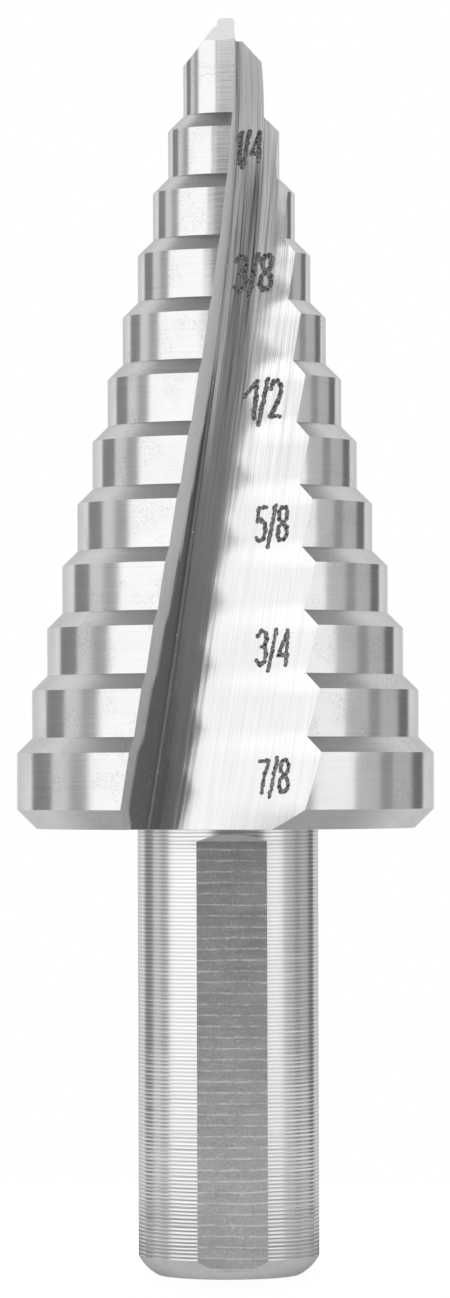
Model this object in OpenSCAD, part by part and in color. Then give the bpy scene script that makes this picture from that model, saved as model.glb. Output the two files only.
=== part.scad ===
// Single-flute step drill, standing on its shank end with the point upwards.
// The origin is the centre of the shank's end face, and the flute faces -Y.

/* [Steps] */
// Diameter that the first step cuts
first_size = 4.7625; // [4:0.0125:6.5]
// How much each step adds to the diameter
size_rise = 1.5875; // [1.2:0.0125:2]
// How many steps the head has
step_count = 12; // [8:1:13]
// Height from one step to the next
step_pitch = 3.245; // [2.4:0.005:4.5]
// How much taller the last step's cutting land is than the others
last_land_extra = 0.47; // [0:0.01:3]
// Height and width of the chamfer under the last step
base_chamfer = 1.01; // [0.4:0.01:1.6]
// How much the radius falls in one turn behind the cutting edge
relief_per_turn = 0.44; // [0.3:0.02:0.8]

/* [Flute] */
// Depth from the steps' cone to the broad face, at the base
flute_depth_base = 4.15; // [3:0.01:4.4]
// Depth from the steps' cone to the broad face, at the point
flute_depth_tip = 3.32; // [2.6:0.01:3.4]
// Direction of the cutting edge at the base, from +X
edge_angle_base = -119.1; // [-122:0.1:-108]
// How far the cutting edge turns on its way to the point
spiral_turn = 47.9; // [40:0.1:50]
// Share of the turn that is even, the rest being left mostly to the upper steps
spiral_even = 0.41; // [0.2:0.01:0.8]
// Tilt of the broad face to the X axis, at the base
face_tilt_base = 24.8; // [18:0.1:27]
// Tilt of the broad face to the X axis, at the point
face_tilt_tip = 22; // [12:0.1:24]
// Lean of the rake face from the Y axis at the base, which is gone at the point
rake_lean_base = 23.4; // [16:0.1:26]
// Hollow of the rake face at the base, as a share of its depth, gone at the point
rake_hollow = 0.065; // [0:0.005:0.08]
// Radius left at the root of the flute
root_radius = 0.45; // [0.2:0.05:0.7]

/* [Point] */
// Height of the first step, from its foot to the point's cutting corner
first_land_h = 3.76; // [2.6:0.01:4.5]
// Angle of the whole point across its two lips
point_angle = 118; // [112:1:140]
// Clearance of the flank just behind each lip
lip_clearance = 7.4; // [5:0.1:12]
// Half the thickness of the web between the two split notches
half_web = 0.45; // [0.35:0.01:0.6]
// Slope of the steep facet at the heel of each flank
heel_slope = 53; // [45:0.5:60]
// Distance from the axis to the steep facet, at the level of the cutting corner
heel_reach = 1.38; // [1.25:0.01:1.5]
// Depth below the tip, on the axis, of the notch that splits the point at the back
notch_drop = 0.75; // [0.6:0.01:0.95]
// Slope of the notch's floor, away from the web
notch_fall = 45; // [40:1:50]
// Slope of the notch's floor, away from the flute
notch_slope = 22; // [15:1:35]

/* [Shank] */
// Diameter of the shank
shank_d = 9.45; // [8:0.05:10.5]
// Length of the shank, up to the underside of the head
shank_len = 23.3; // [16:0.05:40]
// Chamfer at the end of the shank
end_chamfer = 1; // [0.4:0.01:1.4]
// How many flats the shank has
flat_count = 3; // [2:1:4]
// Depth of each flat
flat_depth = 0.365; // [0.2:0.005:0.6]
// Direction of the first flat, from +X
flat_angle = -87.5; // [-100:0.5:-80]
// Plain length left between the flats and the head
flat_gap = 0.29; // [0.1:0.01:1]

/* [Hidden] */
$fn = 96;

// Steps: radii, and heights up the axis
first_r = first_size / 2;
rise = size_rise / 2;
last_r = first_r + rise * (step_count - 1);
land_h = step_pitch - rise;
last_land_z = shank_len + base_chamfer;
last_land_h = land_h + last_land_extra;
first_land_z = last_land_z + last_land_extra + (step_count - 1) * step_pitch;
// Relief: each step is two half-turns about centres on either side of the axis
cam_shift = relief_per_turn / 4;
cam_lead = 27;
land_overlap = 0.3;
// Tip, and the spare stock above it that the point is ground from
corner_drop = first_r * tan(90 - point_angle / 2);
tip_z = first_land_z + first_land_h + corner_drop;
point_stock = 1;
// The steps' cone, through the middle of each land
cone_slope = rise / step_pitch;
cone_base_z = last_land_z + last_land_extra + land_h / 2;
cone_end_r = 0.4 * first_r;
// Flute cutter: it starts below the head, and stands clear of it all round
flute_sections = 44;
flute_start_z = shank_len - 1.3;
flute_end_z = tip_z + 2 * point_stock;
flute_margin = 4;
rake_points = 4;
root_points = 4;
// Point: size of the blocks that cut it, and how far in front of the axis the notch starts
cut_block = 4 * last_r;
notch_lead = 2 * half_web;
// Shank
shank_r = shank_d / 2;
flat_r = shank_r - flat_depth;
flat_top_z = shank_len - flat_gap;

function land_r(k) = first_r + rise * (k - 1);
function land_bottom(k) = k == step_count ? last_land_z
    : last_land_z + last_land_extra + (step_count - k) * step_pitch;
function land_top(k) = land_bottom(k) + (k == step_count ? last_land_h : land_h);

// Share of the way from the head's underside to the tip
function climb(z) = min(max((z - shank_len) / (tip_z - shank_len), 0), 1);
function cone_r(z) = max(last_r - cone_slope * (z - cone_base_z), cone_end_r);
function edge_angle(z) = edge_angle_base
    + spiral_turn * (spiral_even * climb(z) + (1 - spiral_even) * pow(climb(z), 3));
function blend(from, to, share) = from + (to - from) * share;

// Profile of a step: the last one is chamfered below, the first one is stock for the point
function step_foot(k, r) = k == step_count
    ? [[0, shank_len], [r - base_chamfer, shank_len], [r, last_land_z]]
    : [[0, land_bottom(k) - land_overlap], [r, land_bottom(k) - land_overlap]];
function step_shoulder(k, r) = k == 1
    ? [[r, tip_z + point_stock], [0, tip_z + point_stock]]
    : let(top = land_top(k), high = rise + land_overlap)
        [[r, top], [r - high, top + high], [0, top + high]];

// Half a turn of a step
module half_step(k, r) {
    rotate_extrude(angle = 180)
        polygon(concat(step_foot(k, r), step_shoulder(k, r)));
}

// One step with its relief: the radius falls steadily behind the cutting edge
module relieved_step(k) {
    cut_r = land_r(k) - cam_shift * cos(cam_lead);
    back_r = cut_r - 2 * cam_shift;
    rotate([0, 0, edge_angle(land_bottom(k) + land_h / 2) + cam_lead]) {
        translate([cam_shift, 0, 0])
            rotate([0, 0, 180])
                half_step(k, cut_r);
        translate([-cam_shift, 0, 0])
            half_step(k, back_r);
    }
}

// Outline of the flute at one height, clockwise from above: out past the cutting edge,
// down the hollow rake face, round the root, along the broad face and back outside
function flute_outline(z) =
    let(
        r = cone_r(z),
        tilt = blend(face_tilt_base, face_tilt_tip, climb(z)),
        face_y = r - blend(flute_depth_base, flute_depth_tip, climb(z)),
        lean = rake_lean_base * (1 - climb(z)),
        dip = 4 * rake_hollow * (1 - climb(z)),
        edge = r * [cos(edge_angle(z)), sin(edge_angle(z))],
        down = [sin(lean), cos(lean)],
        hollow = [-cos(lean), sin(lean)],
        along = [cos(tilt), -sin(tilt)],
        normal = [sin(tilt), cos(tilt)],
        depth = (-face_y - normal * edge) / (normal * down),
        root = edge + depth * down,
        reach = root_radius / tan((90 - tilt + lean) / 2),
        blend_u = 1 - reach / depth,
        blend_from = rake_point(edge, down, dip * hollow, depth, blend_u),
        blend_to = root + reach * along,
        side_x = r + flute_margin,
        out = down + dip * hollow
    )
    concat(
        [edge - flute_margin * out],
        [for (i = [0 : rake_points - 1])
            rake_point(edge, down, dip * hollow, depth, blend_u * i / rake_points)],
        [for (i = [0 : root_points])
            let(t = i / root_points)
            (1 - t) * (1 - t) * blend_from + 2 * t * (1 - t) * root + t * t * blend_to],
        [root + (side_x - root[0]) / along[0] * along],
        [[side_x, -r - 2 * flute_margin]]
    );
function rake_point(edge, down, dip, depth, u) = edge + depth * (u * down + u * (1 - u) * dip);

// Flute cutter, turning with the cutting edge from below the head to above the tip
module flute() {
    outlines = [for (j = [0 : flute_sections])
        let(z = blend(flute_start_z, flute_end_z, j / flute_sections))
        [for (p = flute_outline(z)) [p[0], p[1], z]]];
    n = len(outlines[0]);
    top = flute_sections * n;
    walls = [for (j = [0 : flute_sections - 1], i = [0 : n - 1], half = [0, 1])
        let(
            a = j * n + i,
            b = j * n + (i + 1) % n,
            c = b + n,
            d = a + n
        )
        half == 0 ? [a, b, c] : [a, c, d]];
    floor = [for (i = [0 : n - 3]) [n - 1, i + 1, i]];
    roof = [for (i = [0 : n - 3]) [top + n - 1, top + i, top + i + 1]];
    polyhedron(points = [for (o = outlines, p = o) p], faces = concat(walls, floor, roof));
}

// Cuts away all that is above a sloping plane through a point
module cut_above(at, slope, direction) {
    translate(at)
        rotate([0, 0, direction])
            rotate([0, -slope, 0])
                translate([-cut_block / 2, -cut_block / 2, 0])
                    cube([cut_block, cut_block, cut_block]);
}

// One lip's flank and the steep facet at its heel
module flank() {
    along_lip = tan(90 - point_angle / 2);
    behind_lip = tan(lip_clearance);
    cut_above([0, 0, tip_z], atan(norm([along_lip, behind_lip])), atan2(along_lip, behind_lip));
    rotate([0, 0, lip_clearance])
        cut_above([-heel_reach, 0, tip_z - corner_drop], heel_slope, 0);
}

// The two lips of the point, and the notch that splits it at the back
module point_cuts() {
    flank();
    rotate([0, 0, 180])
        flank();
    translate([-half_web, -notch_lead, tip_z - notch_drop + notch_lead * tan(notch_slope)])
        rotate([-90 - notch_slope, 0, 0])
            linear_extrude(height = cut_block)
                polygon([
                    [0, -cut_block],
                    [0, 0],
                    [-cut_block, cut_block * tan(notch_fall) * cos(notch_slope)],
                    [-cut_block, -cut_block]
                ]);
}

// Shank with its end chamfer, up into the head
module shank() {
    difference() {
        rotate_extrude()
            polygon([
                [0, 0],
                [shank_r - end_chamfer, 0],
                [shank_r, end_chamfer],
                [shank_r, shank_len + land_overlap],
                [0, shank_len + land_overlap]
            ]);
        for (i = [0 : flat_count - 1])
            rotate([0, 0, flat_angle + i * 360 / flat_count])
                flat_cut();
    }
}

// Cuts one flat, with a sloping run-out at the top
module flat_cut() {
    out = 2 * flat_depth;
    translate([0, shank_r, 0])
        rotate([90, 0, 0])
            linear_extrude(height = shank_d)
                polygon([
                    [flat_r, -1],
                    [flat_r + out, -1],
                    [flat_r + out, flat_top_z + out - flat_depth],
                    [flat_r, flat_top_z - flat_depth]
                ]);
}

module step_drill() {
    color("silver") {
        difference() {
            union() {
                for (k = [1 : step_count])
                    relieved_step(k);
            }
            flute();
            point_cuts();
        }
        shank();
    }
}

step_drill();
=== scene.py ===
import bmesh
import bpy
import math
import numpy as np
from mathutils import Matrix, Vector
from mathutils.bvhtree import BVHTree


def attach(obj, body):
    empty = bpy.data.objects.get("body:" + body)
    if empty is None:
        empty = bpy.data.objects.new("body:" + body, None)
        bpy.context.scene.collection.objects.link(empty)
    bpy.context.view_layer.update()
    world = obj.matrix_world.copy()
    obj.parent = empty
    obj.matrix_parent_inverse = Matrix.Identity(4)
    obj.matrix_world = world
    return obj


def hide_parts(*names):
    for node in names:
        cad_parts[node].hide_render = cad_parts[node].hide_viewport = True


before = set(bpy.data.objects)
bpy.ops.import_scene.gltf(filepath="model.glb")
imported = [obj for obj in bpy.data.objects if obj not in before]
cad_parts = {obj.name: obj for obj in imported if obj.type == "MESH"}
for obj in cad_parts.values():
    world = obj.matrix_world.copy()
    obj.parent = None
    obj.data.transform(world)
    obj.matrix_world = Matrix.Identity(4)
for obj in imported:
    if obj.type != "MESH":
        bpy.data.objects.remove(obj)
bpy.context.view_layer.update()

# Steps and shank, in millimetres and degrees
MM = 0.001
FIRST_R = 2.38125
RISE = 0.79375
STEPS = 12
PITCH = 3.245
LAST_EXTRA = 0.47
CHAMFER = 1.01
SHANK_LEN = 23.3
SHANK_R = 4.725
END_CHAMFER = 1.0
END_BULGE = 0.34
END_FACE = 2.6
FLAT_COUNT = 3
FLAT_R = 4.36
FLAT_ANGLE = -87.5
FLAT_TOP = 23.01
LAST_R = FIRST_R + RISE * (STEPS - 1)
LAND_H = PITCH - RISE
LAST_LAND_Z = SHANK_LEN + CHAMFER
FIRST_LAND_Z = LAST_LAND_Z + LAST_EXTRA + (STEPS - 1) * PITCH
CONE_BASE_Z = LAST_LAND_Z + LAST_EXTRA + LAND_H / 2

# Relief: each step is two half-turns about centres on either side of the axis
CAM_SHIFT = 0.11
CAM_LEAD = 27.0

# Flute: a pair of values is for the head's base and for the point
FLUTE_DEPTH = (4.15, 3.32)
FACE_TILT = (24.8, 22.0)
EDGE_START = -119.1
SPIRAL_TURN = 47.9
SPIRAL_EVEN = 0.41
RAKE_LEAN = 23.4
RAKE_HOLLOW = 0.065
ROOT_R = 0.15

# Hollow of the broad face as a share of its width, and the heights over which it deepens
FACE_HOLLOW = (0.018, 0.036)
HOLLOW_FROM = 24
HOLLOW_OVER = 9

# Point
POINT_ANGLE = 118.0
FIRST_LAND_H = 3.76
LIP_CLEARANCE = 7.4
HALF_WEB = 0.45
HEEL_SLOPE = 53.0
HEEL_REACH = 1.38
NOTCH_DROP = 0.75
NOTCH_FALL = 45.0
NOTCH_SLOPE = 22.0
NOTCH_LEAD = 2 * HALF_WEB
CORNER_DROP = FIRST_R * math.tan(math.radians(90 - POINT_ANGLE / 2))
TIP_Z = FIRST_LAND_Z + FIRST_LAND_H + CORNER_DROP

# How finely the surfaces are divided
ARC_POINTS = 240
FACE_POINTS = 26
ROOT_POINTS = 8
RAKE_POINTS = 16
SHOULDER_LEVELS = 3
LAND_LEVELS = 6
FIRST_LAND_LEVELS = 16
SHANK_SIDES = 256
SHANK_LEVELS = 12
END_POINTS = 8

# Spare stock, size of the cutters, and how far the ends of the flute's walls are looked for
POINT_STOCK = 1
NOTCH_BLOCK = 20
FLAT_BLOCK = 3
FLAT_BELOW = 1
OVERLAP = 0.3
SEARCH_OUT = 3.5
SEARCH_DOWN = 0.6
SEARCH_SPARE = 3
SEARCH_WIDTH = 2.5
HALVINGS = 44

# The visual model is a trace smaller than the solids, across and upwards
INSIDE_ACROSS = 0.9994
INSIDE_UP = 0.99999

# Edges sharper than this stay crisp, and flat faces that point down more than this are run-outs
SHARP_ANGLE = 22
RUN_OUT_FALL = -0.3
UV_PER_MM = 0.1


def sind(angle):
    return math.sin(math.radians(angle))


def cosd(angle):
    return math.cos(math.radians(angle))


def tand(angle):
    return math.tan(math.radians(angle))


def direction(angle):
    return np.array([cosd(angle), sind(angle)])


def mix(start, end, share):
    return start + (end - start) * share


def climb(z):
    """Share of the way from the head's underside to the tip."""
    return min(max((z - SHANK_LEN) / (TIP_Z - SHANK_LEN), 0), 1)


def cone_r(z):
    """Radius of the steps' cone, through the middle of each land."""
    return max(LAST_R - RISE / PITCH * (z - CONE_BASE_Z), 0.4 * FIRST_R)


def edge_angle(z):
    """Direction of the cutting edge, from +X."""
    return EDGE_START + SPIRAL_TURN * (SPIRAL_EVEN * climb(z) + (1 - SPIRAL_EVEN) * climb(z) ** 3)


def land_bottom(step):
    return LAST_LAND_Z if step == STEPS else LAST_LAND_Z + LAST_EXTRA + (STEPS - step) * PITCH


def land_top(step):
    return land_bottom(step) + LAND_H + (LAST_EXTRA if step == STEPS else 0)


def relieved_r(radius, step, angle):
    """Radius of a step's relieved outline in a direction."""
    turn = angle - (edge_angle(land_bottom(step) + LAND_H / 2) + CAM_LEAD)
    cut_r = radius - CAM_SHIFT * cosd(CAM_LEAD)
    aside = (CAM_SHIFT * sind(turn)) ** 2
    if sind(turn) < 0:
        return CAM_SHIFT * cosd(turn) + math.sqrt(cut_r * cut_r - aside)
    back_r = cut_r - 2 * CAM_SHIFT
    return -CAM_SHIFT * cosd(turn) + math.sqrt(back_r * back_r - aside)


class Flute:
    """The flute's walls at one height: a hollow rake face, a rounded root and a broad face."""

    def __init__(self, z):
        share = climb(z)
        radius = cone_r(z)
        tilt = mix(*FACE_TILT, share)
        lean = RAKE_LEAN * (1 - share)
        face = radius - mix(*FLUTE_DEPTH, share)
        self.edge = radius * direction(edge_angle(z))
        self.down = np.array([sind(lean), cosd(lean)])
        self.dip = 4 * RAKE_HOLLOW * (1 - share) * np.array([-cosd(lean), sind(lean)])
        self.along = np.array([cosd(tilt), -sind(tilt)])
        self.normal = np.array([sind(tilt), cosd(tilt)])
        self.depth = (-face - self.normal @ self.edge) / (self.normal @ self.down)
        self.root = self.edge + self.depth * self.down
        self.reach = ROOT_R / tand((90 - tilt + lean) / 2)
        self.hollow = mix(*FACE_HOLLOW, min(max((z - HOLLOW_FROM) / HOLLOW_OVER, 0), 1))

    def broad(self, out, width):
        """Point on the broad face at a distance from the root, out of the face's whole width."""
        share = out / width
        return self.root + out * self.along + self.hollow * width * 4 * share * (1 - share) * self.normal

    def rake(self, share):
        """Point on the rake face, from the cutting edge at 0 to the root at 1, or straight on below 0."""
        if share < 0:
            return self.edge + self.depth * share * (self.down + self.dip)
        return self.edge + self.depth * (share * self.down + share * (1 - share) * self.dip)

    def corner(self, share, width):
        """Point on the rounded root, from the broad face at 0 to the rake face at 1."""
        start = self.broad(self.reach, width)
        end = self.rake(self.root_share())
        return (1 - share) ** 2 * start + 2 * share * (1 - share) * self.root + share * share * end

    def root_share(self):
        return 1 - self.reach / self.depth


def turning_point(low, high, holds):
    """Where a test that holds at low stops holding on the way to high."""
    for _ in range(HALVINGS):
        middle = (low + high) / 2
        if holds(middle):
            low = middle
        else:
            high = middle
    return (low + high) / 2


def outline(z, radius, step):
    """Outline at one height, clockwise from the cutting edge round the back to the heel and along the flute.

    With each point comes its distance along the flute's wall from the root, minus on the rake face."""
    flute = Flute(z)

    def outside(point):
        return math.hypot(*point) > relieved_r(radius, step, math.degrees(math.atan2(point[1], point[0])))

    top = turning_point(-SEARCH_OUT / flute.depth, SEARCH_DOWN, lambda share: outside(flute.rake(share)))
    width = turning_point(flute.reach, SEARCH_WIDTH * radius + SEARCH_SPARE,
                          lambda out: not outside(flute.root + out * flute.along))
    start = flute.rake(top)
    heel = flute.root + width * flute.along
    first = math.degrees(math.atan2(start[1], start[0]))
    last = math.degrees(math.atan2(heel[1], heel[0])) - 360
    if last > first:
        last -= 360
    points = [start]
    wall = [-flute.depth * (1 - top)]
    for i in range(1, ARC_POINTS):
        angle = mix(first, last, i / ARC_POINTS)
        points.append(relieved_r(radius, step, angle) * direction(angle))
        wall.append(0)
    for i in range(FACE_POINTS):
        out = mix(width, flute.reach, i / FACE_POINTS)
        points.append(flute.broad(out, width))
        wall.append(out)
    for i in range(ROOT_POINTS):
        points.append(flute.corner(i / ROOT_POINTS, width))
        wall.append(mix(flute.reach, -flute.reach, i / ROOT_POINTS))
    for i in range(RAKE_POINTS):
        share = mix(flute.root_share(), top, i / RAKE_POINTS)
        points.append(flute.rake(share))
        wall.append(-flute.depth * (1 - share))
    return points, wall


def levels():
    """Heights, radii, steps and kinds of surface, from the head's underside to the stock above the tip."""
    shares = [i / SHOULDER_LEVELS for i in range(SHOULDER_LEVELS)]
    found = [(mix(SHANK_LEN, LAST_LAND_Z, share), LAST_R - CHAMFER * (1 - share), STEPS, "shoulder")
             for share in shares]
    for step in range(STEPS, 0, -1):
        radius = FIRST_R + RISE * (step - 1)
        foot = land_bottom(step)
        top = land_top(step) if step > 1 else TIP_Z + POINT_STOCK
        count = LAND_LEVELS if step > 1 else FIRST_LAND_LEVELS
        found += [(mix(foot, top, i / count), radius, step, "land") for i in range(count)]
        if step > 1:
            found += [(mix(top, top + RISE, share), radius - RISE * share, step, "shoulder")
                      for share in shares]
    found.append((TIP_Z + POINT_STOCK, FIRST_R, 1, "land"))
    return found


class Nodes:
    """Short calls for building a node tree."""

    def __init__(self, tree):
        self.tree = tree

    def add(self, kind, inputs=(), **settings):
        node = self.tree.nodes.new(kind)
        for key, value in settings.items():
            setattr(node, key, value)
        for key, value in dict(inputs).items():
            if isinstance(value, bpy.types.NodeSocket):
                self.tree.links.new(value, node.inputs[key])
            else:
                node.inputs[key].default_value = value
        return node

    def math(self, operation, first, second=0.0, third=0.0):
        return self.add("ShaderNodeMath", {0: first, 1: second, 2: third}, operation=operation).outputs[0]

    def plus(self, first, second):
        return self.math("ADD", first, second)

    def minus(self, first, second):
        return self.math("SUBTRACT", first, second)

    def times(self, first, second):
        return self.math("MULTIPLY", first, second)

    def times_plus(self, first, second, third):
        return self.math("MULTIPLY_ADD", first, second, third)

    def sway(self, value, noise, amount):
        """The value, moved up and down by a noise about its middle."""
        return self.times_plus(self.minus(noise, 0.5), amount, value)

    def remap(self, value, low, high, at_low, at_high, smooth=False):
        node = self.add("ShaderNodeMapRange", {"Value": value, "From Min": low, "From Max": high,
                                               "To Min": at_low, "To Max": at_high})
        if smooth:
            node.interpolation_type = "SMOOTHSTEP"
        return node.outputs["Result"]

    def noise(self, where, scale, detail, rough):
        """Noise with a grain of 1 / scale millimetres, along each axis where scale has three values."""
        scales = scale if isinstance(scale, tuple) else (scale, scale, scale)
        place = self.add("ShaderNodeMapping", {"Vector": where, "Scale": scales}).outputs[0]
        return self.add("ShaderNodeTexNoise", {"Vector": place, "Scale": 1.0, "Detail": detail,
                                               "Roughness": rough}).outputs["Fac"]

    def enlarged(self, where, factor):
        return self.add("ShaderNodeVectorMath", {0: where, 1: (factor, factor, factor)},
                        operation="MULTIPLY").outputs[0]

    def in_millimetres(self):
        return self.enlarged(self.add("ShaderNodeTexCoord").outputs["Object"], 1 / MM)

    def uv(self, layer):
        return self.add("ShaderNodeUVMap", uv_map=layer).outputs[0]

    def split(self, vector):
        return self.add("ShaderNodeSeparateXYZ", {"Vector": vector}).outputs

    def grey(self, tone, green=1.0):
        return self.add("ShaderNodeCombineColor", {"Red": tone, "Green": self.times(tone, green),
                                                   "Blue": tone}).outputs[0]


KINDS = ["land", "shoulder", "face", "rake", "point", "shank", "flat", "end"]
STEEL = {}
STEEL_TINT = (0.62, 0.63, 0.63, 1)

# Millimetres between the turning lines of the shank, and between the feed lines of its flats
TURNING_PITCH = 0.2
FEED_PITCH = 0.57


class Steel(Nodes):
    """Ground or turned steel of one kind of surface, which that kind's own function changes and finishes.

    grain and fine are the tool's coarse and fine lines: scale of the noise, height in mm, and darkening.
    patch is how uneven the gloss is, and rub how far the tone wanders."""

    def __init__(self, kind, tone, rough, aniso, patch, rub, grain, fine):
        material = bpy.data.materials.new("steel_" + kind)
        material.use_nodes = True
        super().__init__(material.node_tree)
        STEEL[kind] = material
        self.shader = self.tree.nodes["Principled BSDF"]
        self.shader.inputs["Metallic"].default_value = 1.0
        self.shader.inputs["Anisotropic"].default_value = aniso
        self.shader.inputs["Specular Tint"].default_value = STEEL_TINT
        self.where = self.in_millimetres()
        self.up = self.split(self.where)[2]
        self.flute = self.enlarged(self.uv("surface"), 1 / UV_PER_MM)
        lines = self.where
        self.tangent = {"direction_type": "RADIAL", "axis": "Z"}
        if kind in ("face", "rake"):
            lines = self.flute
            self.tangent = {"direction_type": "UV_MAP", "uv_map": "surface"}
        grain_scale, grain_height, grain_tone = grain
        fine_scale, fine_height, fine_tone = fine
        self.grain = self.noise(lines, grain_scale, 3.0, 0.6)
        self.fine = self.noise(lines, fine_scale, 2.0, 0.5)
        self.cloud = self.noise(self.where, 0.35, 3.0, 0.55)
        speck = self.remap(self.noise(self.where, 9, 2.0, 0.6), 0.66, 0.74, 0, 1)
        tint = self.sway(tone, self.grain, grain_tone)
        tint = self.sway(tint, self.fine, fine_tone)
        tint = self.sway(tint, self.cloud, rub)
        self.tint = self.times_plus(speck, -rub, tint)
        self.gloss = self.sway(self.sway(rough, self.cloud, patch), self.grain, patch)
        self.height = self.times_plus(self.fine, fine_height, self.times(self.grain, grain_height))

    def sparks(self, amount):
        """Small bright specks."""
        spark = self.remap(self.noise(self.where, 11, 1.0, 0.5), 0.735, 0.76, 0, 1)
        self.tint = self.times_plus(spark, amount, self.tint)

    def dust(self):
        """Fine dark dust in patches, which also dulls the gloss."""
        patches = self.remap(self.noise(self.where, 0.5, 2.0, 0.5), 0.46, 0.62, 0, 1, True)
        grains = self.remap(self.noise(self.where, 8, 4.0, 0.75), 0.48, 0.72, 0, 0.20)
        dust = self.times(grains, patches)
        self.tint = self.minus(self.tint, dust)
        self.gloss = self.times_plus(dust, 0.5, self.gloss)

    def lines_across(self, pitch, wander):
        """Wave from -1 to 1 up the axis, with its crests a pitch apart and a little uneven."""
        uneven = self.times(self.cloud, wander)
        return self.math("SINE", self.times_plus(self.up, 2 * math.pi / pitch, uneven))

    def finish(self):
        bump = self.add("ShaderNodeBump", {"Strength": 1.0, "Distance": MM, "Height": self.height})
        tangent = self.add("ShaderNodeTangent", **self.tangent)
        sockets = {"Base Color": self.grey(self.tint, 1.005), "Roughness": self.gloss,
                   "Normal": bump.outputs[0], "Tangent": tangent.outputs[0]}
        for name, socket in sockets.items():
            self.tree.links.new(socket, self.shader.inputs[name])


def land_steel():
    """Cylindrical lands, ground round the axis."""
    steel = Steel("land", tone=0.83, rough=0.11, aniso=0.6, patch=0.08, rub=0.12,
                  grain=((0.10, 0.10, 9.0), 0.0008, 0.10), fine=((0.3, 0.3, 40.0), 0.0004, 0.08))
    steel.dust()
    steel.finish()


def shoulder_steel():
    """Shoulders and the chamfer below the head, duller than the lands."""
    steel = Steel("shoulder", tone=0.78, rough=0.24, aniso=0.5, patch=0.10, rub=0.06,
                  grain=((0.10, 0.10, 7.0), 0.0012, 0.14), fine=((0.3, 0.3, 30.0), 0.0004, 0.10))
    steel.dust()
    steel.finish()


def face_steel():
    """Broad face of the flute: a painted dark reflection near the root, and streaked towards the point."""
    steel = Steel("face", tone=0.88, rough=0.11, aniso=0.4, patch=0.08, rub=0.04,
                  grain=((5.0, 0.10, 1.0), 0.0034, 0.22), fine=((18.0, 0.16, 1.0), 0.0018, 0.24))
    out = steel.sway(steel.split(steel.flute)[0], steel.grain, 1.6)

    # Painted dark reflection for about 2 mm out from the root, apart from an unpainted strip beside it on
    # the upper steps
    root_painted_reflection = steel.times(steel.remap(steel.up, 56, 60, 1, 0, True), steel.remap(out, 1.3, 2.2, 1, 0, True))
    unpainted_strip = steel.times(steel.remap(steel.up, 40, 47, 0, 1, True), steel.remap(out, 0.40, 0.62, 1, 0, True))
    root_painted_reflection = steel.times(root_painted_reflection, steel.minus(1.0, unpainted_strip))
    steel.tint = steel.times(steel.tint, steel.times_plus(root_painted_reflection, -0.56, 1.0))

    # Lighter, streaked and less glossy towards the point
    steel.tint = steel.times(steel.tint, steel.remap(steel.up, 57, 60, 1.0, 1.08))
    streaks = steel.minus(steel.plus(steel.grain, steel.fine), 1.0)
    streaks = steel.times(streaks, steel.remap(steel.up, 40, 54, 0, 1))
    steel.tint = steel.times_plus(streaks, 1.1, steel.tint)
    steel.gloss = steel.plus(steel.gloss, steel.remap(steel.up, 55, 61, 0, 0.22))
    steel.sparks(0.2)
    steel.finish()


def rake_steel():
    """Rake face: a rough rim at the cutting edge with a painted highlight, wider towards the point, and a
    smooth wall with painted shade.
    """
    steel = Steel("rake", tone=0.72, rough=0.17, aniso=0.5, patch=0.12, rub=0.08,
                  grain=((7.0, 0.15, 1.0), 0.0030, 0.20), fine=((24.0, 0.30, 1.0), 0.0016, 0.20))
    steel.shader.inputs["Metallic"].default_value = 0.55

    # The rim ends at an uneven share of the way down, and covers the whole wall on the upper steps
    down = steel.sway(steel.split(steel.uv("rim"))[0], steel.grain, 0.30)
    rim_end = steel.remap(steel.up, 25, 48, 0.38, 1.0)
    rim = steel.remap(steel.minus(down, rim_end), -0.05, 0.06, 1, 0, True)
    # Painted light: the rim's colour is lightened as a painted highlight, more towards the point, and the
    # wall's colour is darkened as painted shade
    wall_painted_shade = 0.36
    rim_painted_highlight = steel.remap(steel.up, 25, 40, 0.95, 1.37)
    light = steel.times_plus(rim, steel.minus(rim_painted_highlight, wall_painted_shade), wall_painted_shade)
    steel.tint = steel.times(steel.tint, light)
    steel.gloss = steel.times_plus(rim, 0.62, steel.gloss)

    # Painted shade: a little darker in the root
    steel.tint = steel.times(steel.tint, steel.remap(down, 0.90, 1.0, 1.0, 0.8, True))
    steel.sparks(0.9)
    steel.finish()


def point_steel():
    """Bright ground flanks of the point."""
    steel = Steel("point", tone=0.99, rough=0.12, aniso=0.0, patch=0.10, rub=0.05,
                  grain=((3.0, 0.4, 3.0), 0.0010, 0.06), fine=((14.0, 2.0, 14.0), 0.0004, 0.06))
    steel.finish()


def shank_steel():
    """Shank with even turning lines round it."""
    steel = Steel("shank", tone=0.82, rough=0.18, aniso=0.4, patch=0.08, rub=0.05,
                  grain=((0.02, 0.02, 4.6), 0.0200, 0.10), fine=((0.2, 0.2, 22.0), 0.0020, 0.12))
    lines = steel.lines_across(TURNING_PITCH, 2.0)
    lines = steel.times(lines, steel.remap(steel.grain, 0.25, 0.75, 0.8, 1.2))
    steel.tint = steel.times_plus(lines, 0.17, steel.plus(steel.tint, -0.03))
    steel.gloss = steel.times_plus(lines, 0.03, steel.gloss)
    steel.height = steel.times_plus(lines, 0.0035, steel.height)
    steel.finish()


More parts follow.
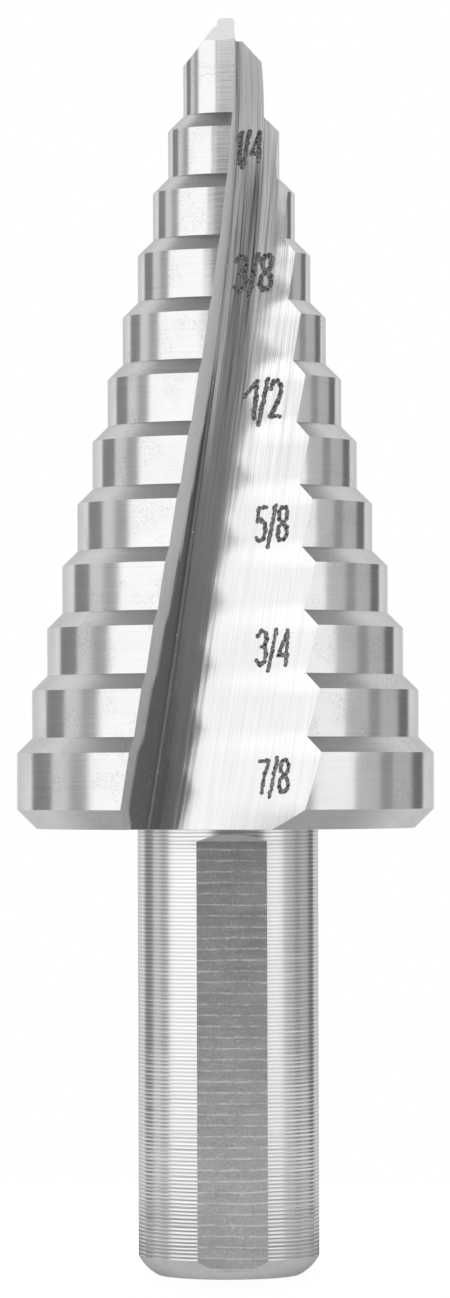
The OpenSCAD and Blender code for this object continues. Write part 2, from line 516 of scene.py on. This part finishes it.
def flat_steel():
    """Flats of the shank: mottled, darker upwards, with broken feed lines across and nicks."""
    steel = Steel("flat", tone=0.645, rough=0.32, aniso=0.0, patch=0.10, rub=0.10,
                  grain=((0.6, 0.6, 3.0), 0.0050, 0.22), fine=((7.0, 7.0, 14.0), 0.0045, 0.42))
    steel.tint = steel.times(steel.tint, steel.remap(steel.up, 1, 23, 1.12, 0.80))
    lines = steel.lines_across(FEED_PITCH, 3.0)
    broken = steel.remap(steel.noise(steel.where, (2.2, 2.2, 0.9), 2.0, 0.6), 0.36, 0.62, 0.05, 0.42)
    steel.tint = steel.times_plus(steel.remap(lines, 0.80, 1.0, 0, 1, True), broken, steel.tint)
    nicks = steel.remap(steel.noise(steel.where, 7, 1.0, 0.5), 0.68, 0.72, 0, 1)
    steel.tint = steel.times_plus(nicks, 0.22, steel.tint)
    steel.finish()


def end_steel():
    """End of the shank, its chamfer and the flats' run-outs."""
    steel = Steel("end", tone=0.92, rough=0.30, aniso=0.3, patch=0.08, rub=0.05,
                  grain=((2.0, 2.0, 2.0), 0.0008, 0.08), fine=((9.0, 9.0, 9.0), 0.0004, 0.08))
    steel.finish()


def burnt_mark():
    """Dark uneven colour of the size marks."""
    material = bpy.data.materials.new("burnt_mark")
    material.use_nodes = True
    nodes = Nodes(material.node_tree)
    shader = material.node_tree.nodes["Principled BSDF"]
    shader.inputs["Roughness"].default_value = 0.75
    shader.inputs["Metallic"].default_value = 0.4
    tone = nodes.remap(nodes.noise(nodes.in_millimetres(), 9, 2.0, 0.6), 0.36, 0.64, 0.09, 0.56)
    material.node_tree.links.new(nodes.grey(tone), shader.inputs["Base Color"])
    return material


def kind_of(name):
    return KINDS.index(name)


def wall_kind(i, round_kind):
    """Kind of surface that follows point i of an outline."""
    if i < ARC_POINTS:
        return round_kind
    if i < ARC_POINTS + FACE_POINTS:
        return "face"
    return "rake"


def add_object(name, mesh):
    made = bpy.data.objects.new(name, mesh)
    bpy.context.scene.collection.objects.link(made)
    return made


def closed(bm, name):
    """A mesh object from a bmesh in millimetres, with a slot for each kind of surface."""
    bmesh.ops.recalc_face_normals(bm, faces=bm.faces[:])
    mesh = bpy.data.meshes.new(name)
    bm.to_mesh(mesh)
    bm.free()
    for kind in KINDS:
        mesh.materials.append(STEEL[kind])
    return add_object(name, mesh)


def fill(bm, edges, normal, kind, dissolve):
    """Closes a ring of edges with faces of one kind."""
    before = set(bm.faces)
    bmesh.ops.triangle_fill(bm, edges=edges, use_beauty=True, use_dissolve=dissolve, normal=normal)
    for face in bm.faces:
        if face not in before:
            face.material_index = kind_of(kind)


def grind(bm, at, slope, heading):
    """Grinds away all that is above a sloping plane."""
    normal = Vector((-sind(slope) * cosd(heading), -sind(slope) * sind(heading), cosd(slope)))
    cut = bmesh.ops.bisect_plane(bm, geom=bm.verts[:] + bm.edges[:] + bm.faces[:], dist=1e-6,
                                 plane_co=at, plane_no=normal, clear_outer=True)
    edges = [item for item in cut["geom_cut"] if isinstance(item, bmesh.types.BMEdge) and item.is_boundary]
    fill(bm, edges, normal, "point", True)


def grind_point(bm):
    """Two lips, each with its flank and the steep facet at the flank's heel."""
    along_lip = tand(90 - POINT_ANGLE / 2)
    behind_lip = tand(LIP_CLEARANCE)
    for turn in (0, 180):
        grind(bm, Vector((0, 0, TIP_Z)), math.degrees(math.atan(math.hypot(along_lip, behind_lip))),
              math.degrees(math.atan2(along_lip, behind_lip)) + turn)
        away = LIP_CLEARANCE + turn
        heel = Vector((-HEEL_REACH * cosd(away), -HEEL_REACH * sind(away), TIP_Z - CORNER_DROP))
        grind(bm, heel, HEEL_SLOPE, away)


def head():
    """Relieved steps with the flute in them, lofted level by level and ground to a point.

    Layer surface holds the distance along the flute's wall and the height, and layer rim starts with the
    share of the way from the cutting edge down to the root."""
    bm = bmesh.new()
    surface = bm.loops.layers.uv.new("surface")
    rim = bm.loops.layers.uv.new("rim")
    rings = []
    walls = []
    stack = levels()
    for z, radius, step, _ in stack:
        points, wall = outline(z, radius, step)
        rings.append([bm.verts.new((point[0], point[1], z)) for point in points])
        walls.append(wall)
    count = len(rings[0])
    for j in range(len(rings) - 1):
        for i in range(count):
            after = (i + 1) % count
            corners = ((j, after), (j, i), (j + 1, i), (j + 1, after))
            face = bm.faces.new([rings[row][column] for row, column in corners])
            face.material_index = kind_of(wall_kind(i, stack[j][3]))
            for loop, (row, column) in zip(face.loops, corners):
                out = i if i < ARC_POINTS else walls[row][column]
                height = stack[row][0] * UV_PER_MM
                loop[surface].uv = (out * UV_PER_MM, height)
                loop[rim].uv = (1 - out / walls[row][0] if out <= 0 else 1, height)
    bm.faces.new(list(reversed(rings[-1]))).material_index = kind_of("point")
    fill(bm, [edge for edge in bm.edges if edge.is_boundary], Vector((0, 0, -1)), "end", False)
    grind_point(bm)
    return closed(bm, "drill_body")


def prism(name, shape, place, length, kind):
    """A straight bar of an outline, placed by a matrix, its own Z along the bar."""
    bm = bmesh.new()
    ends = [[bm.verts.new(place @ Vector((x, y, z))) for x, y in shape] for z in (0, length)]
    count = len(shape)
    bm.faces.new(ends[0])
    bm.faces.new(list(reversed(ends[1])))
    for i in range(count):
        after = (i + 1) % count
        bm.faces.new((ends[0][i], ends[1][i], ends[1][after], ends[0][after]))
    for face in bm.faces:
        face.material_index = kind_of(kind)
    return closed(bm, name)


def notch():
    """Cutter of the notch that splits the point at the back."""
    start = Vector((-HALF_WEB, -NOTCH_LEAD, TIP_Z - NOTCH_DROP + NOTCH_LEAD * tand(NOTCH_SLOPE)))
    fall = tand(NOTCH_FALL) * cosd(NOTCH_SLOPE)
    shape = [(0, -NOTCH_BLOCK), (0, 0), (-NOTCH_BLOCK, NOTCH_BLOCK * fall), (-NOTCH_BLOCK, -NOTCH_BLOCK)]
    place = Matrix.Translation(start) @ Matrix.Rotation(math.radians(-90 - NOTCH_SLOPE), 4, "X")
    return prism("notch", shape, place, NOTCH_BLOCK, "point")


def flat_cutter(turn):
    """Cutter of one flat of the shank, with a sloping run-out at the top."""
    depth = SHANK_R - FLAT_R
    shape = [(FLAT_R, -FLAT_BELOW), (FLAT_R + FLAT_BLOCK, -FLAT_BELOW),
             (FLAT_R + FLAT_BLOCK, FLAT_TOP + FLAT_BLOCK - depth), (FLAT_R, FLAT_TOP - depth)]
    place = (Matrix.Rotation(math.radians(turn), 4, "Z") @ Matrix.Translation((0, SHANK_R, 0))
             @ Matrix.Rotation(math.radians(90), 4, "X"))
    return prism("flat", shape, place, 2 * SHANK_R, "flat")


def shank():
    """Turned shank with a slightly rounded end chamfer and its flats, reaching a little into the head."""
    bm = bmesh.new()
    profile = [(SHANK_R - END_CHAMFER - END_FACE, 0, "end")]
    for i in range(END_POINTS + 1):
        share = i / END_POINTS
        bulge = END_BULGE * share * (1 - share)
        kind = "end" if i < END_POINTS else "shank"
        profile.append((SHANK_R - END_CHAMFER * (1 - share) + bulge, END_CHAMFER * share - bulge, kind))
    for i in range(1, SHANK_LEVELS + 1):
        profile.append((SHANK_R, mix(END_CHAMFER, SHANK_LEN + OVERLAP, i / SHANK_LEVELS), "shank"))
    angles = [360 * i / SHANK_SIDES for i in range(SHANK_SIDES)]
    rings = [[bm.verts.new((radius * cosd(angle), radius * sind(angle), z)) for angle in angles]
             for radius, z, _ in profile]
    for below, above, (_, _, kind) in zip(rings, rings[1:], profile):
        for i in range(SHANK_SIDES):
            after = (i + 1) % SHANK_SIDES
            face = bm.faces.new((below[i], below[after], above[after], above[i]))
            face.material_index = kind_of(kind)
    bm.faces.new(list(reversed(rings[0]))).material_index = kind_of("end")
    bm.faces.new(rings[-1]).material_index = kind_of("end")
    stock = closed(bm, "shank_stock")
    for i in range(FLAT_COUNT):
        combine(stock, flat_cutter(FLAT_ANGLE + 360 / FLAT_COUNT * i), "DIFFERENCE")
    return stock


def combine(kept, other, operation):
    """Joins or cuts one closed mesh with another, which is then dropped."""
    modifier = kept.modifiers.new("part", "BOOLEAN")
    modifier.operation = operation
    modifier.solver = "EXACT"
    modifier.object = other
    bpy.context.view_layer.update()
    result = bpy.data.meshes.new_from_object(kept.evaluated_get(bpy.context.evaluated_depsgraph_get()))
    kept.modifiers.clear()
    old = kept.data
    kept.data = result
    bpy.data.meshes.remove(old)
    bpy.data.objects.remove(other)


def drill():
    """The whole drill in metres, a little inside the solids, with crisp edges."""
    whole = head()
    combine(whole, notch(), "DIFFERENCE")
    combine(whole, shank(), "UNION")
    mesh = whole.data
    mesh.transform(Matrix.Diagonal((MM * INSIDE_ACROSS, MM * INSIDE_ACROSS, MM * INSIDE_UP, 1)))
    for face in mesh.polygons:
        if face.material_index == kind_of("flat") and face.normal.z < RUN_OUT_FALL:
            face.material_index = kind_of("end")
    mesh.shade_smooth()
    mesh.set_sharp_from_angle(angle=math.radians(SHARP_ANGLE))
    return whole


# Strokes of each sign, in shares of its width and height
SIGNS = {
    "1": [[(0.0, 0.62), (1.0, 1.0), (0.85, 0.0)]],
    "2": [[(0.05, 0.78), (0.25, 0.97), (0.6, 1.0), (0.9, 0.88), (0.95, 0.68), (0.7, 0.42), (0.1, 0.05),
           (0.95, 0.03)]],
    "3": [[(0.05, 0.85), (0.4, 1.0), (0.85, 0.93), (0.95, 0.75), (0.8, 0.58), (0.45, 0.53)],
          [(0.8, 0.50), (0.98, 0.30), (0.85, 0.08), (0.45, 0.0), (0.05, 0.12)]],
    "4": [[(0.85, 0.0), (0.85, 1.0), (0.05, 0.28), (1.0, 0.28)]],
    "5": [[(0.95, 1.0), (0.2, 0.98), (0.1, 0.58), (0.5, 0.64), (0.9, 0.52), (0.98, 0.28), (0.8, 0.05),
           (0.4, 0.0), (0.02, 0.10)]],
    "7": [[(0.0, 0.95), (1.0, 0.97), (0.65, 0.55), (0.45, 0.0)]],
    "8": [[(0.5, 0.54), (0.15, 0.64), (0.08, 0.84), (0.3, 0.98), (0.7, 0.98), (0.92, 0.84), (0.85, 0.64),
           (0.5, 0.54), (0.1, 0.38), (0.02, 0.18), (0.25, 0.02), (0.75, 0.02), (0.98, 0.18), (0.9, 0.38),
           (0.5, 0.54)]],
    "/": [[(1.0, 1.0), (0.0, 0.0)]],
}

# Size marks: fraction, left and foot, width and height of a digit, and size of the beads, in millimetres
MARKS = [
    ("1/4", 0.3, 58.1, 0.45, 1.6, 0.14),
    ("3/8", 0.4, 51.25, 0.6, 1.85, 0.15),
    ("1/2", 0.9, 44.5, 0.58, 1.95, 0.14),
    ("5/8", 1.45, 38.1, 0.5, 1.75, 0.12),
    ("3/4", 1.45, 31.7, 0.5, 1.75, 0.12),
    ("7/8", 1.5, 25.2, 0.48, 1.65, 0.115),
]
DIGIT_LEAN = 0.11

# Place and size of the slash and place of the last digit, in shares of a digit's width and height
SLASH_LEFT = 1.27
SLASH_DROP = 0.16
SLASH_WIDTH = 0.85
SLASH_HEIGHT = 1.2
LAST_DIGIT_LEFT = 2.2

# Beads: each level is a height in millimetres over the face, and a share of the bead's size
BEAD_LEVELS = ((-0.02, 0.6), (0.0, 1.0), (0.014, 0.6))
BEAD_SIDES = 8
BEAD_SPACING = 0.11
BEAD_SCATTER = 0.016
IN_FRONT = 50


def placed_signs():
    """Each sign of the marks, with its left, foot, width, height, lean and bead size."""
    for text, left, foot, width, height, bead in MARKS:
        slash_left = left + SLASH_LEFT * width
        slash_foot = foot - SLASH_DROP * height
        yield text[0], left, foot, width, height, DIGIT_LEAN, bead
        yield text[1], slash_left, slash_foot, SLASH_WIDTH * width, SLASH_HEIGHT * height, 0.0, bead
        yield text[2], left + LAST_DIGIT_LEFT * width, foot, width, height, DIGIT_LEAN, bead


def beads():
    """Places and sizes of the beads along the strokes of all marks, with a little scatter."""
    random = np.random.default_rng(5)
    for sign, left, foot, width, height, lean, bead in placed_signs():
        for stroke in SIGNS[sign]:
            line = [(left + across * width + up * lean, foot + up * height) for across, up in stroke]
            for (x0, z0), (x1, z1) in zip(line, line[1:]):
                count = max(1, round(math.hypot(x1 - x0, z1 - z0) / BEAD_SPACING))
                for i in range(count + 1):
                    x = mix(x0, x1, i / count) + random.normal(0, BEAD_SCATTER)
                    z = mix(z0, z1, i / count) + random.normal(0, BEAD_SCATTER)
                    yield x, z, bead * random.uniform(0.8, 1.25)


def size_marks(on, material):
    """Burnt strokes of small low beads, seated on the broad face from the front."""
    tree = BVHTree.FromObject(on, bpy.context.evaluated_depsgraph_get())
    corners = range(BEAD_SIDES)
    points = []
    faces = []
    for x, z, size in beads():
        at, normal, _, _ = tree.ray_cast(Vector((x, -IN_FRONT, z)) * MM, Vector((0, 1, 0)))
        if normal.x > 0:
            continue
        turn = normal.to_track_quat("Z", "Y")
        first = len(points)
        for height, share in BEAD_LEVELS:
            ring = [size * share * direction(360 / BEAD_SIDES * i) for i in corners]
            points += [at + turn @ Vector((*spot, height)) * MM for spot in ring]
        faces.append([first + BEAD_SIDES - 1 - i for i in corners])
        for row in (first, first + BEAD_SIDES):
            for i in corners:
                after = (i + 1) % BEAD_SIDES
                faces.append((row + i, row + after, row + BEAD_SIDES + after, row + BEAD_SIDES + i))
        faces.append([first + 2 * BEAD_SIDES + i for i in corners])
    mesh = bpy.data.meshes.new("size_marks")
    mesh.from_pydata(points, [], faces)
    mesh.materials.append(material)
    mesh.shade_smooth()
    return add_object("size_marks", mesh)


for make_steel in (land_steel, shoulder_steel, face_steel, rake_steel, point_steel, shank_steel, flat_steel,
                   end_steel):
    make_steel()
body = drill()
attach(body, "root")
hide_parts("step_drill")
marks = size_marks(body, burnt_mark())
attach(marks, "root")

# Camera: its place in millimetres, its focal length in pixels of the photograph, and its small roll
PHOTO_HEIGHT = 1298
FOCAL_PIXELS = 5735.4
SENSOR = 36
SHIFT_UP = 0.0954
CAMERA_PLACE = (-0.14, -300, 26.19)
CAMERA_ROLL = -0.0029


def photo_camera():
    """Level camera in front of the drill, shifted to the photograph's framing."""
    data = bpy.data.cameras.new("camera")
    data.lens = FOCAL_PIXELS / PHOTO_HEIGHT * SENSOR
    data.sensor_width = SENSOR
    data.shift_y = SHIFT_UP
    data.clip_start = 0.01
    camera = add_object("camera", data)
    camera.matrix_world = (Matrix.Translation(Vector(CAMERA_PLACE) * MM)
                           @ Matrix.Rotation(math.pi / 2, 4, "X") @ Matrix.Rotation(CAMERA_ROLL, 4, "Z"))
    return camera


# Light tent: bearings from the front in degrees, minus to the left, and how bright its walls are there
TENT = [
    (-180, 1.0), (-135, 1.0), (-133.5, 0.27), (-112, 0.27), (-111, 0.72), (-99, 0.68), (-93, 0.40),
    (-84, 0.42), (-79, 1.12), (-24, 1.12), (-18, 0.45), (-14, 0.26), (-12, 0.22), (44, 0.24), (47, 0.5),
    (50, 1.0), (74, 1.0), (76, 0.54), (93, 0.52), (95, 0.31), (104, 0.31), (105, 0.50), (124, 0.50),
    (125.5, 0.18), (140, 0.18), (141, 1.0), (180, 1.0),
]
FRONT_LIGHT = 0.85


def tent_walls(nodes, bearing):
    """Brightness of the tent's walls by bearing."""
    ramp = nodes.add("ShaderNodeValToRGB", {"Fac": nodes.remap(bearing, -180, 180, 0, 1)})
    stops = ramp.color_ramp.elements
    while len(stops) < len(TENT):
        stops.new(0.5)
    for stop, (angle, _) in zip(stops, TENT):
        stop.position = (angle + 180) / 360
    for stop, (_, light) in zip(stops, TENT):
        stop.color = (light, light, light, 1)
    return ramp.outputs["Color"]


def studio_world():
    """Light tent round the drill, which the camera sees as plain white."""
    world = bpy.data.worlds.new("studio")
    world.use_nodes = True
    nodes = Nodes(world.node_tree)
    right, behind, above = nodes.split(nodes.add("ShaderNodeTexCoord").outputs["Generated"])
    bearing = nodes.math("ARCTAN2", right, nodes.times(behind, -1.0))
    bearing = nodes.times(bearing, math.degrees(1))
    rise = nodes.times(nodes.math("ARCSINE", above), math.degrees(1))
    side = tent_walls(nodes, bearing)

    # Shade round the camera's lens
    across = nodes.math("POWER", nodes.math("DIVIDE", nodes.plus(bearing, 3), 24), 2)
    upward = nodes.math("POWER", nodes.math("DIVIDE", nodes.plus(rise, 1), 6.5), 2)
    lens = nodes.math("SQRT", nodes.plus(across, upward))
    side = nodes.times(side, nodes.remap(lens, 0.6, 1.15, 0.6, 1.0, True))

    # Grey screen over the left of the camera
    screen = nodes.times(nodes.remap(bearing, -32, -28, 0, 1, True),
                         nodes.remap(bearing, -18, -12, 1, 0, True))
    screen = nodes.times(screen, nodes.times(nodes.remap(rise, 4.6, 5.4, 0, 1, True),
                                             nodes.remap(rise, 12, 18, 1, 0, True)))
    side = nodes.times(side, nodes.times_plus(screen, -0.58, 1.0))

    # Lighter wall over the camera
    front = nodes.times(nodes.remap(bearing, -28, -25, 0, 1, True), nodes.remap(bearing, 44, 48, 1, 0, True))
    front = nodes.times(front, nodes.remap(rise, 6.1, 6.8, 0, 1, True))
    side = nodes.times_plus(front, nodes.minus(FRONT_LIGHT, side), side)

    # Roof, lighter towards the back
    roof = nodes.remap(rise, 18, 54, 0, 1, True)
    roof_light = nodes.plus(nodes.remap(behind, -0.1, 0.45, 0.20, 0.40),
                            nodes.remap(behind, 0.45, 0.62, 0, 0.55, True))
    tent = nodes.plus(nodes.times(side, nodes.minus(1.0, roof)), nodes.times(roof, roof_light))
    seen = nodes.add("ShaderNodeLightPath").outputs["Is Camera Ray"]
    light = nodes.plus(nodes.times(tent, nodes.minus(1.0, seen)), seen)
    nodes.tree.links.new(light, world.node_tree.nodes["Background"].inputs["Color"])
    return world


# Radius of the floor, in metres
FLOOR_RADIUS = 0.07


def paper():
    """Pale paper, bright enough to the camera to meet the white behind it.

    To glossy rays alone it glows beyond 18 mm from the axis, and a little beside the shank, as a painted
    reflection in the metal."""
    material = bpy.data.materials.new("paper")
    material.use_nodes = True
    nodes = Nodes(material.node_tree)
    shader = material.node_tree.nodes["Principled BSDF"]
    shader.inputs["Base Color"].default_value = (0.85, 0.85, 0.85, 1)
    shader.inputs["Roughness"].default_value = 0.9
    shader.inputs["Specular IOR Level"].default_value = 0.0
    shader.inputs["Emission Color"].default_value = (1, 1, 1, 1)
    path = nodes.add("ShaderNodeLightPath").outputs
    place = nodes.add("ShaderNodeTexCoord").outputs["Object"]
    distance = nodes.add("ShaderNodeVectorMath", {0: place}, operation="LENGTH").outputs["Value"]
    # Painted reflection: glow that only glossy rays see, set by distance from the axis
    painted_reflection_glow = nodes.plus(nodes.remap(distance, 0.018, 0.045, 0.0, 0.50, True),
                          nodes.remap(distance, 0.006, 0.009, 0.12, 0.0, True))
    painted_reflection_glow = nodes.times(path["Is Glossy Ray"], painted_reflection_glow)
    bright = nodes.times_plus(path["Is Camera Ray"], 0.64, painted_reflection_glow)
    material.node_tree.links.new(bright, shader.inputs["Emission Strength"])
    return material


def paper_floor():
    """Round pale floor under the drill."""
    bm = bmesh.new()
    bmesh.ops.create_circle(bm, cap_ends=True, segments=96, radius=FLOOR_RADIUS)
    mesh = bpy.data.meshes.new("floor")
    bm.to_mesh(mesh)
    bm.free()
    mesh.materials.append(paper())
    return add_object("floor", mesh)


scene = bpy.context.scene
scene.camera = photo_camera()
scene.world = studio_world()
scene.view_settings.view_transform = "Standard"
floor = paper_floor()
